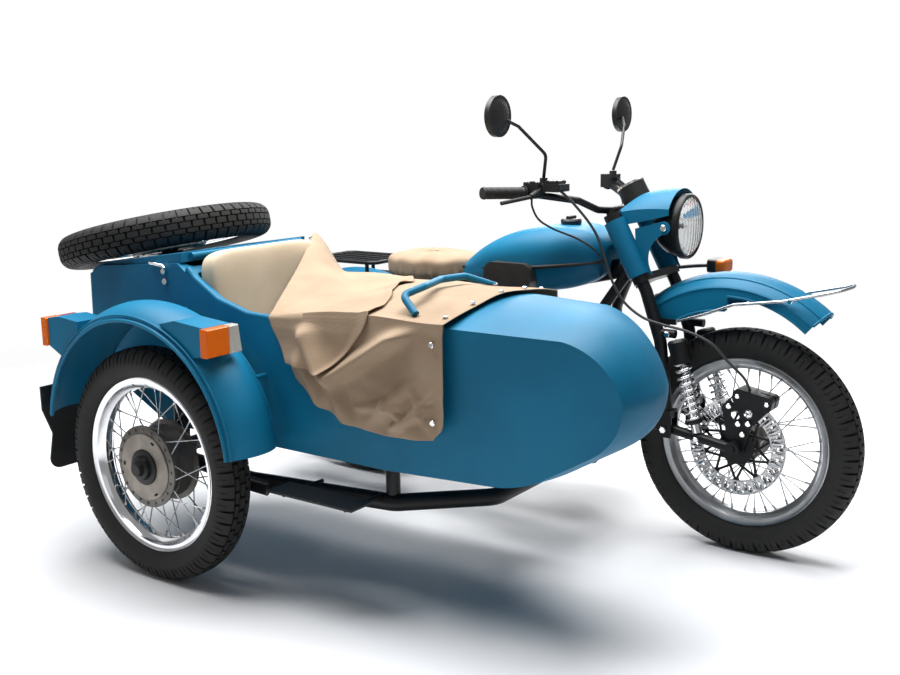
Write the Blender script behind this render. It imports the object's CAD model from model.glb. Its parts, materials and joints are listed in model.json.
# %% [markdown]
# A sidecar motorcycle
#
# The machine has a matt teal blue body on a black frame, laced wheels with block tyres,
# and a beige canvas cover over an open sidecar. The CAD model holds every solid piece.
# This script gives each of them its finish, and makes the pieces that a solid can't show
# well: tread, round spokes, coil springs, cloth, cables and sheet metal with rolled edges.

# %% Load the frame
import json
import bmesh
import bpy
import numpy as np
from mathutils import Matrix, Vector

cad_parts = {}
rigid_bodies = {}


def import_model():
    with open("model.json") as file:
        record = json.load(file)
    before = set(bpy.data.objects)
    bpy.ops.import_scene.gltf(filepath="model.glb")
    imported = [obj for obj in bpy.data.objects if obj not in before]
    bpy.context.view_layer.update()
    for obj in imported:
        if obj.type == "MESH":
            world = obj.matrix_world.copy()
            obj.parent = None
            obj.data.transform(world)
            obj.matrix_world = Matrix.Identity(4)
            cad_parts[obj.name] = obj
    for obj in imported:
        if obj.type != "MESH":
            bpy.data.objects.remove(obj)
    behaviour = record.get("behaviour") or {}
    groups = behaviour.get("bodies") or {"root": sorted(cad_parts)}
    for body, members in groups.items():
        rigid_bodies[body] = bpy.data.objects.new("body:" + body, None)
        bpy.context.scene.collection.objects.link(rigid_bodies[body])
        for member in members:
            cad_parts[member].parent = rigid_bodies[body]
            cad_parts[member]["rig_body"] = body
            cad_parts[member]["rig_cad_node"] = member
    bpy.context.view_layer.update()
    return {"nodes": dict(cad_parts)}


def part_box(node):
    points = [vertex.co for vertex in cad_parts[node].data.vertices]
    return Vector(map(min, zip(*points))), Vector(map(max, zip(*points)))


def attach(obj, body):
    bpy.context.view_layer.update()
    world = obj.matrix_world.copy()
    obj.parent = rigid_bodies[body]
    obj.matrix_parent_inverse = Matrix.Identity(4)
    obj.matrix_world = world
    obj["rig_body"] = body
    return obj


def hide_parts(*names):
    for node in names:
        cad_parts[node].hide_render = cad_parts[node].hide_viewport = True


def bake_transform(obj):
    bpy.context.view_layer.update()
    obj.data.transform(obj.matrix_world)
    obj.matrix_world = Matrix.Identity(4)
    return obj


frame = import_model()
scene = bpy.context.scene

# %% [markdown]
# Measures of the machine
#
# Sizes are in millimetres, as on a workshop drawing. X points forwards, Y to the rider's
# left and Z up. X = 0 is the rear axle, and Y = 0 is the plane of the motorcycle's own
# wheels. Each piece could be fitted to its solid by eye. Instead the rear tyre's box says
# where the drawing's origin lies in the frame, and every place follows from that.

# %% Measures
MM = 0.001  # metres in a millimetre
FULL = 2 * np.pi  # a whole turn
low_corner, high_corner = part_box("rear_tyre")
middle = (low_corner + high_corner) / 2
REAR_AXLE = np.array([middle.x, middle.y, 0.0])  # in metres, on the floor
WHEELBASE = 1500.0
TYRE_R = 343.0
RIM_R = 257.0  # edge of the rim
RIM_SEAT = 241.0  # where the tyre sits
RIM_WELL = 222.0  # bottom of the rim's channel
SIDE_AXLE = np.array([166.0, -1120.0, TYRE_R])  # middle of the sidecar's wheel
SPARE = np.array([-232.0, -700.0, 940.0])  # middle of the spare wheel
SPARE_TILT = np.radians(12.7)
print("rear axle at", REAR_AXLE.round(4))


def metres(points):
    """Points of the drawing, in millimetres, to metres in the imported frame: scaled, then
    moved by the rear axle's place."""
    return np.asarray(points, float) * MM + REAR_AXLE


# %% [markdown]
# The camera
#
# A camera could be moved about until the picture fits. A photograph of two round wheels
# fixes it better: each wheel is an ellipse, whose size and lean say how far and from where
# it was seen. The lens comes out at about 45 mm on a full-frame sensor, from the right
# front at the height of a standing person's chest.

# %% Camera
FOCAL_LENGTH = 44.9
SENSOR_WIDTH = 36.0
CAMERA_AT = np.array([2673.0, -3164.0, 1314.0])
YAW = np.radians(35.6)
DOWN = np.radians(11.15)
ROLL = np.radians(-0.89)

behind = np.array([np.sin(YAW) * np.cos(DOWN), -np.cos(YAW) * np.cos(DOWN), np.sin(DOWN)])
level = np.array([np.cos(YAW), np.sin(YAW), 0.0])
above = np.cross(behind, level)
right = level * np.cos(ROLL) + above * np.sin(ROLL)
up = above * np.cos(ROLL) - level * np.sin(ROLL)

camera_data = bpy.data.cameras.new("camera")
camera_data.lens = FOCAL_LENGTH
camera_data.sensor_width = SENSOR_WIDTH
camera = bpy.data.objects.new("camera", camera_data)
scene.collection.objects.link(camera)
facing = Matrix((right, up, behind)).transposed().to_4x4()
camera.matrix_world = Matrix.Translation(Vector(metres(CAMERA_AT))) @ facing
scene.camera = camera
scene.view_settings.view_transform = "Standard"
print("camera at", metres(CAMERA_AT).round(3))

# %% [markdown]
# Colours and nodes
#
# A colour is written as the hex value that a paint chart would give. Blender's sockets
# want light, not screen values, so one function undoes the screen's curve. A second one
# adds a node with its settings and links. Materials could also be drawn by hand in the
# node editor, but a few functions keep all of them alike and easy to read.

# %% Colours


def linear(code, alpha=1.0):
    """A hex colour as linear RGBA: each channel c becomes ((c + 0.055) / 1.055) ^ 2.4."""
    channels = [int(code[i : i + 2], 16) / 255 for i in (1, 3, 5)]
    curve = [((c + 0.055) / 1.055) ** 2.4 if c > 0.04045 else c / 12.92 for c in channels]
    return (*curve, alpha)


print("mid grey as light", round(linear("#808080")[0], 3))

# %% Nodes and materials


def add_node(tree, kind, links=None, **settings):
    """A node of one kind. A setting that names a socket sets its value, any other sets
    the node's own property; links maps a socket's name or number to what feeds it."""
    node = tree.nodes.new(kind)
    for name, value in settings.items():
        label = name.replace("_", " ")
        sockets = {s.name.lower(): s for s in reversed(node.inputs) if s.enabled}
        if label.lower() in sockets and not hasattr(type(node), name):
            sockets[label.lower()].default_value = value
        else:
            setattr(node, name, value)
    for socket, source in (links or {}).items():
        tree.links.new(source, node.inputs[socket])
    return node


def material(name, **shader):
    """A new material: its node tree and the Principled shader that ends it."""
    made = bpy.data.materials.new(name)
    made.use_nodes = True
    tree = made.node_tree
    tree.nodes.clear()
    surface = add_node(tree, "ShaderNodeBsdfPrincipled")
    for socket, value in shader.items():
        surface.inputs[socket.replace("_", " ").capitalize()].default_value = value
    add_node(tree, "ShaderNodeOutputMaterial", {"Surface": surface.outputs[0]})
    return made, tree, surface


def object_coordinates(tree):
    """The piece's own coordinates, in metres."""
    return add_node(tree, "ShaderNodeTexCoord").outputs["Object"]


print("helpers for nodes ready")

# %% [markdown]
# Patterns with a real size
#
# Every finish has a grain, a weave or flutes of some width. A texture's Scale says how
# many cells it has in a metre, which tells a maker nothing, so two functions work it out
# from millimetres. A noise cell holds one rise and one fall, so it is two grains wide. A
# wave texture repeats after 0.314, or 2 pi / 20, of its input.

# %% Patterns
WAVE_PERIOD = 0.314


def noise(tree, place, grain_mm, detail=2.0):
    """A noise whose grains are `grain_mm` wide: its Scale is 1000 / (2 grain_mm)."""
    links = {"Vector": place}
    return add_node(tree, "ShaderNodeTexNoise", links, Scale=1000 / grain_mm / 2, Detail=detail)


def waves(tree, place, pitch_mm, axis, distortion=0.0):
    """Ridges across one axis, `pitch_mm` apart: their Scale is 314 / pitch_mm."""
    return add_node(
        tree, "ShaderNodeTexWave", {"Vector": place}, wave_type="BANDS", bands_direction=axis,
        Scale=1000 * WAVE_PERIOD / pitch_mm, Distortion=distortion,
    )


def ramp(tree, factor, stops):
    """A colour ramp from (position, hex) stops."""
    node = add_node(tree, "ShaderNodeValToRGB", {"Fac": factor})
    elements = node.color_ramp.elements
    while len(elements) < len(stops):
        elements.new(0.5)
    for element, (place, code) in zip(elements, stops):
        element.position = place
        element.color = linear(code)
    return node


def bumped(tree, surface, height, distance):
    """Puts a bump of a height, in metres, on the shader's normal."""
    node = add_node(tree, "ShaderNodeBump", {"Height": height}, Strength=1.0, Distance=distance)
    tree.links.new(node.outputs[0], surface.inputs["Normal"])


def two_tones(tree, surface, factor, dark, pale, spread=0.15):
    """The base colour: from `dark` to `pale` over the middle of a factor from 0 to 1."""
    colour = ramp(tree, factor, [(0.5 - spread, dark), (0.5 + spread, pale)])
    tree.links.new(colour.outputs[0], surface.inputs["Base Color"])


def calculate(tree, operation, first, second):
    """The output of a sum or product of a socket and another socket or a number."""
    links = {0: first}
    if not isinstance(second, float):
        links[1] = second
    node = add_node(tree, "ShaderNodeMath", links, operation=operation)
    if isinstance(second, float):
        node.inputs[1].default_value = second
    return node.outputs[0]


print("a wave of 10 mm has a scale of", 1000 * WAVE_PERIOD / 10)

# %% [markdown]
# Painted metal
#
# The body is sprayed in a matt teal blue enamel. A matt lacquer scatters light, so its
# highlight is broad and pale, and its sides go deep where no light reaches. The spray
# leaves a faint orange peel, 1.6 mm across. Black frame parts are powder coated: a little
# glossier, with a finer peel. One flat colour would do from afar, but a slow cloud of two
# close tones and a real peel keep the large panels from looking like plastic.

# %% Enamel and powder coat


def enamel(name, dark, pale, roughness, peel_mm, coat):
    """A sprayed finish: two close colours mixed by a cloud of 100 mm, and a fine peel as
    bump, 0.06 mm high."""
    made, tree, surface = material(name, roughness=roughness)
    place = object_coordinates(tree)
    two_tones(tree, surface, noise(tree, place, 100).outputs["Fac"], dark, pale)
    bumped(tree, surface, noise(tree, place, peel_mm).outputs["Fac"], 0.00006)
    surface.inputs["Specular IOR Level"].default_value = 0.25
    surface.inputs["Coat Weight"].default_value = coat
    surface.inputs["Coat Roughness"].default_value = 0.35
    return made


blue_enamel = enamel("blue_enamel", "#07668a", "#0a7095", 0.48, 1.6, 0.0)
black_coat = enamel("black_powder_coat", "#101112", "#151617", 0.42, 1.2, 0.1)
print("enamels ready")

# %% [markdown]
# Bare metals
#
# A metal has no colour of its own under the surface: its base colour is what it reflects,
# and its roughness says how it was finished. A sand casting is grainy and dull. A polished
# rim is nearly a mirror. Turned and zinc plated parts lie between the two. A picture of
# metal could be wrapped round each piece, but noise in the piece's own coordinates has a
# true size and no seams, so one function makes them all.

# %% Metals


def bare_metal(name, pale, dark, roughness, grain_mm, grain_height, patch=0.06):
    """A bare metal: stains of 28 mm mix two tones and move the roughness by `patch`, and
    a grain of a real size, in millimetres, is the bump."""
    made, tree, surface = material(name, metallic=1.0)
    place = object_coordinates(tree)
    cloud = add_node(tree, "ShaderNodeTexNoise", {"Vector": place}, Scale=18.0, Detail=4.0)
    two_tones(tree, surface, cloud.outputs["Fac"], dark, pale)
    rough = add_node(
        tree, "ShaderNodeMapRange", {"Value": cloud.outputs["Fac"]},
        To_Min=roughness - patch, To_Max=roughness + patch,
    )
    tree.links.new(rough.outputs[0], surface.inputs["Roughness"])
    bumped(tree, surface, noise(tree, place, grain_mm, 3.0).outputs["Fac"], grain_height)
    return made


# Name, pale and dark tone, roughness, width of the grain in mm and its height in metres.
cast_aluminium = bare_metal("sand_cast_aluminium", "#a3a19d", "#86847f", 0.48, 1.4, 0.0004)
polished_rim = bare_metal("polished_aluminium", "#e2e3e5", "#d3d4d6", 0.14, 2.0, 0.00001, 0.03)
zinc_steel = bare_metal("zinc_plated_steel", "#c4c6c8", "#a9abad", 0.26, 1.0, 0.00004)
disc_steel = bare_metal("ground_disc_steel", "#c9c9c9", "#b7b7b8", 0.22, 0.8, 0.00003)
dark_steel = bare_metal("blackened_exhaust_steel", "#4a4744", "#2d2b2a", 0.4, 1.2, 0.00005)
rim_grey = bare_metal("grey_aluminium", "#b4b6b8", "#a2a4a6", 0.32, 1.2, 0.00004)
worn_steel = bare_metal("worn_steel", "#8b857d", "#746e67", 0.4, 1.2, 0.00005)
grey_casting = bare_metal("grey_casting", "#7d7a75", "#66635f", 0.5, 1.4, 0.0003)
chrome = bare_metal("chrome_plate", "#eeeeee", "#e2e2e3", 0.07, 3.0, 0.000005, 0.02)
print("metals ready")

# %% [markdown]
# Rubber and moulded plastic
#
# Tyre rubber is carbon black in a dull binder: nearly black, with dust in its grain. The
# grips and boots are softer and a touch paler, and a brake hose has a grey woven sleeve.
# Moulded housings have a fine spark-eroded texture, here 0.7 mm across so that it still
# shows. All of them could share one black, but side by side their tones and their gloss
# tell them apart, so one function gives each its own.

# %% Rubber and plastic


def moulded(name, dark, pale, roughness, grain_mm, height):
    """Rubber or plastic out of a mould: two close tones in patches of 17 mm, and a fine
    grain as bump."""
    made, tree, surface = material(name, roughness=roughness)
    place = object_coordinates(tree)
    cloud = add_node(tree, "ShaderNodeTexNoise", {"Vector": place}, Scale=30.0, Detail=5.0)
    two_tones(tree, surface, cloud.outputs["Fac"], dark, pale, 0.2)
    bumped(tree, surface, noise(tree, place, grain_mm).outputs["Fac"], height)
    return made


tyre_rubber = moulded("tyre_rubber", "#0a0a09", "#131211", 0.74, 1.1, 0.0002)
soft_rubber = moulded("moulded_rubber", "#131313", "#1d1c1c", 0.6, 0.9, 0.0001)
hose_rubber = moulded("woven_hose_rubber", "#2e2f2f", "#3c3d3c", 0.5, 1.0, 0.0001)
black_plastic = moulded("black_abs", "#121213", "#191a1b", 0.42, 0.7, 0.00008)
pad_rubber = moulded("ribbed_pad_rubber", "#1d1a18", "#2c2825", 0.5, 0.9, 0.0001)
print("rubbers ready")

# %% [markdown]
# Lamp plastics and glass
#
# The turn signals are dyed acrylic, moulded with vertical flutes that spread the light.
# Real flutes are 2 or 3 mm apart, too fine to show here, so they are drawn 10 mm apart,
# and 18 mm on the headlight. Transmission alone would need a lamp inside, so the colour is
# set on the body and only a part of the light goes through.

# %% Lenses


def lens_plastic(name, code, roughness, through, flute_mm, axis):
    """Clear or dyed acrylic with flutes: a wave of a given pitch across one axis."""
    made, tree, surface = material(name, roughness=roughness)
    surface.inputs["Base Color"].default_value = linear(code)
    surface.inputs["Transmission Weight"].default_value = through
    surface.inputs["IOR"].default_value = 1.49
    flutes = waves(tree, object_coordinates(tree), flute_mm, axis)
    bumped(tree, surface, flutes.outputs["Fac"], 0.0006)
    return made


amber_lens = lens_plastic("amber_acrylic", "#fb7a0a", 0.16, 0.25, 10.0, "Y")
clear_lens = lens_plastic("clear_acrylic", "#dedbd2", 0.14, 0.45, 10.0, "Y")
red_lens = lens_plastic("red_acrylic", "#b3120c", 0.16, 0.2, 10.0, "Z")
lamp_glass = lens_plastic("fluted_lamp_glass", "#f4f6f6", 0.04, 0.95, 18.0, "Y")
mirror_glass = bare_metal("mirror_glass", "#dfe3e6", "#d5dadd", 0.03, 3.0, 0.000002, 0.01)
print("lenses ready")

# %% [markdown]
# Canvas and seat cloth
#
# The cover is cotton canvas: a plain weave of thick yarn, whose real pitch of 0.6 mm is
# too fine to show, so it is drawn at 3.2 mm. Use has left slow stains, and small creases
# run through it. The seat is a coated cloth, smoother and paler. The weave could follow a
# UV map of each cut. It reads the piece's coordinates instead, because the cloth lies in
# two nearly flat planes and a weave as fine as this shows no direction.

# %% Cloth materials


def woven(name, dark, pale, yarn_mm, crease, height=0.00022):
    """A plain weave: waves of the yarn's pitch across all three axes as bump, stains of
    70 mm as colour, and a ridged noise of 55 mm as soft creases, `crease` times as high
    as the yarn."""
    made, tree, surface = material(name, roughness=0.92)
    surface.inputs["Sheen Weight"].default_value = 0.05
    surface.inputs["Sheen Roughness"].default_value = 0.6
    place = object_coordinates(tree)
    stain = add_node(tree, "ShaderNodeTexNoise", {"Vector": place}, Scale=7.0, Detail=5.0)
    two_tones(tree, surface, stain.outputs["Fac"], dark, pale, 0.2)
    yarns = [waves(tree, place, yarn_mm, axis, 1.0).outputs["Fac"] for axis in "XYZ"]
    ridges = add_node(
        tree, "ShaderNodeTexNoise", {"Vector": place}, noise_type="RIDGED_MULTIFRACTAL",
        Scale=9.0, Detail=3.0,
    )
    creases = calculate(tree, "MULTIPLY", ridges.outputs["Fac"], crease)
    weave = calculate(tree, "ADD", calculate(tree, "ADD", *yarns[:2]), yarns[2])
    bumped(tree, surface, calculate(tree, "ADD", weave, creases), height)
    return made


canvas = woven("cotton_canvas", "#99826a", "#a8927a", 3.2, 2.0)
seat_cloth = woven("coated_seat_cloth", "#c4b297", "#d1c1a8", 2.6, 0.8, 0.00003)
print("cloths ready")

# %% [markdown]
# Light, floor and background
#
# A studio picture of a vehicle has a large soft light above, weak ones at the sides and a
# white ground that keeps a soft shadow. A photographed surround could light the scene, but
# four plain lamps are easier to steer. A big lamp gives the broad, soft highlights that
# matt enamel shows, and the lamp at the left rear picks out the edges of the black parts.

# %% Lamps


def area_light(name, place, aim, size, power):
    """A rectangular lamp at a place that faces a point, both in millimetres. Its two
    sides are in metres and its power in watts."""
    data = bpy.data.lights.new(name, "AREA")
    data.shape = "RECTANGLE"
    data.size, data.size_y = size
    data.energy = power
    lamp = bpy.data.objects.new(name, data)
    scene.collection.objects.link(lamp)
    start, goal = Vector(metres(place)), Vector(metres(aim))
    lamp.location = start
    lamp.rotation_euler = (goal - start).to_track_quat("-Z", "Y").to_euler()


area_light("top", (300, -300, 3600), (500, -500, 0), (4.0, 3.0), 350)
area_light("front_right", (3600, -3000, 2300), (900, -400, 500), (2.2, 2.2), 5)
area_light("left_back", (-400, 3200, 2400), (500, 0, 600), (2.5, 1.5), 80)
area_light("rear_right", (-2600, -2600, 1700), (100, -900, 500), (1.6, 1.6), 6)
print("lamps", [lamp.name for lamp in bpy.data.lights])

# %% [markdown]
# The white surround
#
# A white world would light every side of the machine and wash its colours out. So it is
# white only to the camera and through glass, at three tenths in reflections, and nearly
# dark as a lamp. The kind of ray that asks, from the Light Path node, decides it.

# %% World
DIM = 0.05  # the world's strength as a lamp
REFLECTED = 0.3  # how much of the white a glossy surface shows

world = bpy.data.worlds.new("studio")
scene.world = world
world.use_nodes = True
world_tree = world.node_tree
world_tree.nodes.clear()
ray = add_node(world_tree, "ShaderNodeLightPath").outputs
glossy = calculate(world_tree, "MULTIPLY", ray["Is Glossy Ray"], REFLECTED)
seen = calculate(world_tree, "MAXIMUM", ray["Is Camera Ray"], glossy)
seen = calculate(world_tree, "MAXIMUM", seen, ray["Is Transmission Ray"])
strength = add_node(world_tree, "ShaderNodeMapRange", {"Value": seen}, To_Min=DIM, To_Max=1.0)
white = add_node(world_tree, "ShaderNodeBackground", {"Strength": strength.outputs[0]})
white.inputs["Color"].default_value = linear("#ffffff")
add_node(world_tree, "ShaderNodeOutputWorld", {"Surface": white.outputs[0]})
print("world is white to the camera,", DIM, "as a lamp")

# %% [markdown]
# The floor
#
# The floor has to keep the shadow under the machine, and still run into the white behind
# it with no edge. A curved studio wall would do that, but its own shading shows as a grey
# band. Here the floor is flat, and turns see-through with the distance from the machine.

# %% Floor
FLOOR_HALF = 9000.0
SOLID_TO = 2.2  # metres from the machine
CLEAR_FROM = 4.2

floor_paint, tree, surface = material("pale_floor", roughness=0.6)
place = object_coordinates(tree)
dust = add_node(tree, "ShaderNodeTexNoise", {"Vector": place}, Scale=2.0, Detail=3.0)
two_tones(tree, surface, dust.outputs["Fac"], "#f6f7fa", "#f9fafc", 0.2)
distance = add_node(tree, "ShaderNodeVectorMath", {"Vector": place}, operation="LENGTH")
fade = add_node(
    tree, "ShaderNodeMapRange", {"Value": distance.outputs["Value"]},
    From_Min=SOLID_TO, From_Max=CLEAR_FROM, interpolation_type="SMOOTHSTEP",
)
clear = add_node(tree, "ShaderNodeBsdfTransparent")
mixed = add_node(
    tree, "ShaderNodeMixShader", {0: fade.outputs[0], 1: surface.outputs[0], 2: clear.outputs[0]}
)
tree.links.new(mixed.outputs[0], tree.nodes["Material Output"].inputs["Surface"])
floor_corners = FLOOR_HALF * np.array([(-1, -1, 0), (1, -1, 0), (1, 1, 0), (-1, 1, 0)])
floor_mesh = bpy.data.meshes.new("floor")
floor_mesh.from_pydata(metres(floor_corners), [], [(0, 1, 2, 3)])
floor_mesh.materials.append(floor_paint)
floor = bpy.data.objects.new("floor", floor_mesh)
scene.collection.objects.link(floor)
print("floor", 2 * FLOOR_HALF * MM, "m wide")

# %% [markdown]
# Finish of the CAD pieces
#
# Most solids already have the right shape, so they only get their finish here. Each could
# have its own few lines, but a table that pairs a finish with its nodes can be read at a
# glance, and shows at once when a node has been forgotten.

# %% CAD finishes
FINISHES = (
    (blue_enamel, (
        "fuel_tank", "rear_fender", "sidecar_hull", "grab_rail", "sidecar_fender",
        "lamp_housings", "fork_shrouds", "front_fender", "headlight_cowl",
        "trunk_lid",
    )),
    (black_coat, (
        "motorcycle_frame", "rear_rack", "final_drive", "foot_controls", "sidecar_frame",
        "sidecar_suspension", "side_step", "fork", "leading_link", "brake_caliper",
        "handlebar", "spare_carrier", "centre_stand", "headlight_shell",
    )),
    (cast_aluminium, ("engine_case", "cylinders", "carburettors")),
    (zinc_steel, ("fender_rail", "front_shocks", "rear_shocks")),
    (disc_steel, ("brake_disc",)),
    (dark_steel, ("exhaust",)),
    (polished_rim, ("front_wheel", "rear_wheel", "sidecar_wheel", "spare_wheel")),
    (tyre_rubber, ("front_tyre", "rear_tyre", "sidecar_tyre", "spare_tyre")),
    (soft_rubber, ("mudflap", "hand_controls", "brake_hose")),
    (black_plastic, ("air_box", "instrument", "mirrors")),
    (pad_rubber, ("tank_fittings",)),
    (amber_lens, ("signal_lamps", "turn_signals")),
    (lamp_glass, ("headlight_lens",)),
    (canvas, ("tonneau_cover", "rider_saddle")),
    (seat_cloth, ("sidecar_seat",)),
)
for finish, names in FINISHES:
    for name in names:
        mesh = frame["nodes"][name].data
        mesh.materials.clear()
        mesh.materials.append(finish)
finished = {name for finish, names in FINISHES for name in names}
print("nodes without a finish:", sorted(set(frame["nodes"]) - finished))

# %% [markdown]
# Pressed sheet
#
# The hull's nose and the fuel tank are pressed from sheet steel, so their faces run into
# each other in soft bends. The solids could get a fillet on each of those edges. Shading
# smoothly over every edge below an angle shows the same soft bends with no new faces, and
# keeps the crisp edges crisp.

# %% Soft bends


def softened(node, degrees):
    """A copy of a CAD node, its doubled points merged, whose shading runs smoothly over
    edges below an angle in degrees."""
    made = frame["nodes"][node].copy()
    made.data = frame["nodes"][node].data.copy()
    made.name = made.data.name = "soft_" + node
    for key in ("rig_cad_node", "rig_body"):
        del made[key]
    made.parent = None
    scene.collection.objects.link(made)
    work = bmesh.new()
    work.from_mesh(made.data)
    bmesh.ops.remove_doubles(work, verts=work.verts, dist=0.00001)
    work.to_mesh(made.data)
    work.free()
    if made.data.has_custom_normals:
        made.data.attributes.remove(made.data.attributes["custom_normal"])
    made.data.shade_smooth()
    made.data.set_sharp_from_angle(angle=np.radians(degrees))
    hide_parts(node)
    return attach(made, "chassis")


softened("sidecar_hull", 32)
softened("fuel_tank", 40)
print("soft bends on the hull and the tank")

# %% [markdown]
# How the pieces are shaped
#
# Tubes, turned parts and blocks could be modelled by hand, or from Blender's primitives.
# Here every piece is a surface with a formula: a grid of points, each found from two
# numbers, and joined into four-sided faces. It is exact, its sizes can be read in
# millimetres, and its seams and poles are closed. The next cells turn a path, a profile
# or an outline into such grids, and `piece` makes the object.

# %% A grid of points


def grid(points, wrap_rows=False, wrap_columns=False):
    """A patch: P[i, j] is joined to P[i+1, j] and P[i, j+1], and wrapping joins the last
    row or column to the first."""
    points = np.asarray(points, float)
    rows, columns = points.shape[:2]
    i = np.arange(rows - (not wrap_rows))[:, None]
    j = np.arange(columns - (not wrap_columns))[None, :]
    i_next, j_next = (i + 1) % rows, (j + 1) % columns
    quads = [i * columns + j, i_next * columns + j, i_next * columns + j_next, i * columns + j_next]
    return points.reshape(-1, 3), np.stack(quads, -1).reshape(-1, 4)


def unit(vectors):
    """Each vector divided by its length."""
    return vectors / np.linalg.norm(vectors, axis=-1, keepdims=True)


print("a 3 by 4 grid has", len(grid(np.zeros((3, 4, 3)))[1]), "faces")

# %% Curves, bars and coils


def curve(points, steps=10):
    """A smooth line through points: the Catmull-Rom cubic, whose slope at each point is
    half the step between its neighbours."""
    p = np.asarray(points, float)
    p = np.vstack([2 * p[0] - p[1], p, 2 * p[-1] - p[-2]])
    t = np.linspace(0, 1, steps, endpoint=False)[:, None, None]
    a, b, c, d = p[:-3], p[1:-2], p[2:-1], p[3:]
    cubic = 2 * b + (c - a) * t + (2 * a - 5 * b + 4 * c - d) * t**2
    cubic = 0.5 * (cubic + (3 * b - a - 3 * c + d) * t**3)
    return np.vstack([cubic.transpose(1, 0, 2).reshape(-1, p.shape[1]), p[-2]])


def round_bar(path, radius, sides=14):
    """A tube with rounded-off ends. Its ring at the path's point P is
    P + r (cos a N + sin a B), with N and B across the path's tangent."""
    path = np.asarray(path, float)
    radius = np.broadcast_to(radius, len(path)).astype(float)
    along = unit(np.gradient(path, axis=0))
    across = unit(np.cross(np.linalg.svd(along)[2][2], along))
    beside = np.cross(along, across)
    path = np.vstack([path[:1], path, path[-1:]])
    across = np.vstack([across[:1], across, across[-1:]])
    beside = np.vstack([beside[:1], beside, beside[-1:]])
    radius = np.concatenate([[0], radius, [0]])[:, None, None]
    a = np.linspace(0, FULL, sides, endpoint=False)[None, :, None]
    ring = np.cos(a) * across[:, None] + np.sin(a) * beside[:, None]
    return grid(path[:, None] + radius * ring, wrap_columns=True)


def coil(start, end, radius, wire, turns, sides=10):
    """A spring: P(t) = start + t (end - start) + R (cos a N + sin a B), a = 2 pi turns t."""
    start, end = np.asarray(start, float), np.asarray(end, float)
    axis = unit(end - start)
    across = unit(np.cross(axis, (0.0, 1.0, 0.3)))
    beside = np.cross(axis, across)
    t = np.linspace(0, 1, int(turns * 24))[:, None]
    a = FULL * turns * t
    path = start + t * (end - start) + radius * (np.cos(a) * across + np.sin(a) * beside)
    return round_bar(path, wire, sides)


print("a bar of two points has", len(round_bar([(0, 0, 0), (0, 0, 9)], 1)[1]), "faces")

# %% Turned bodies and studs


def turned(profile, centre, sides=96, axis=(0, 1, 0), closed=False):
    """A turned body: each (s, r) of the profile is carried round an axis A through the
    centre, P = centre + s A + r (cos a N + sin a B), with N and B across A."""
    s, r = np.asarray(profile, float).T[:, None, :, None]
    axis = unit(np.asarray(axis, float))
    across = unit(np.cross(axis, (0.0, 0.0, 1.0) if abs(axis[2]) < 0.9 else (1.0, 0.0, 0.0)))
    a = np.linspace(0, FULL, sides, endpoint=False)[:, None, None]
    ring = np.cos(a) * across + np.sin(a) * np.cross(axis, across)
    return grid(np.asarray(centre, float) + s * axis + r * ring, True, closed)


def stud(place, axis, radius, height, sides=6):
    """A bolt head: a turned profile whose outer edge has a chamfer of a quarter of its
    radius or height, whichever is less. With six sides it is a hexagon."""
    edge = min(radius, height) * 0.25
    profile = [(0, 0), (0, radius), (height - edge, radius), (height, radius - edge), (height, 0)]
    return turned(profile, place, sides, axis)


print("a hexagon head has", len(stud((0, 0, 0), (0, 0, 1), 8, 5)[1]), "faces")

# %% Plates and blocks


def plate(outline, depth, edge=1.5):
    """A flat plate: rings from the middle of an outline M to its edge P, and on to the
    same ring moved by depth, with P + e (M - P) before each face as a bevel."""
    outline = np.asarray(outline, float)
    depth = np.asarray(depth, float)
    middle = outline.mean(0)
    small = outline + (middle - outline) * min(0.4, edge / np.abs(outline - middle).max())
    ease = depth * edge / np.linalg.norm(depth)
    rings = [
        middle + 0 * outline, small, outline + ease, outline + depth - ease, small + depth,
        middle + depth + 0 * outline,
    ]
    return grid(np.array(rings), wrap_columns=True)


def block_between(low, high, bevel=3.0):
    """A box between two corners, with bevelled edges on the sides that face +X and -X."""
    (x0, y0, z0), (x1, y1, z1) = low, high
    outline = [(x0, y0, z0), (x0, y1, z0), (x0, y1, z1), (x0, y0, z1)]
    return plate(outline, (x1 - x0, 0, 0), bevel)


print("a block has", len(block_between((0, 0, 0), (9, 9, 9))[1]), "faces")

# %% From patches to a piece


def joined(parts):
    """Several patches as one list of points and one of faces."""
    starts = np.cumsum([0] + [len(points) for points, quads in parts[:-1]])
    quads = [q + start for (p, q), start in zip(parts, starts)]
    return np.vstack([p for p, q in parts]), np.vstack(quads)


def piece(name, parts, finish, body, sharp=40):
    """An object from patches in millimetres: poles merged, faces turned outward, edges
    sharper than an angle kept crisp. It rides on a CAD body."""
    points, quads = joined(parts)
    mesh = bpy.data.meshes.new(name)
    mesh.from_pydata(metres(points), [], quads.tolist())
    work = bmesh.new()
    work.from_mesh(mesh)
    bmesh.ops.remove_doubles(work, verts=work.verts, dist=0.00001)
    bmesh.ops.dissolve_degenerate(work, edges=work.edges, dist=0.000001)
    bmesh.ops.recalc_face_normals(work, faces=work.faces)
    work.to_mesh(mesh)
    work.free()
    mesh.materials.append(finish)
    mesh.shade_smooth()
    mesh.set_sharp_from_angle(angle=np.radians(sharp))
    made = bpy.data.objects.new(name, mesh)
    scene.collection.objects.link(made)
    print(name, len(mesh.polygons), "faces")
    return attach(made, body)


def evaluated_mesh(made):
    """The mesh of an object with its modifiers applied."""
    return bpy.data.meshes.new_from_object(
        made.evaluated_get(bpy.context.evaluated_depsgraph_get())
    )


print("helpers for shapes ready")

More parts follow.
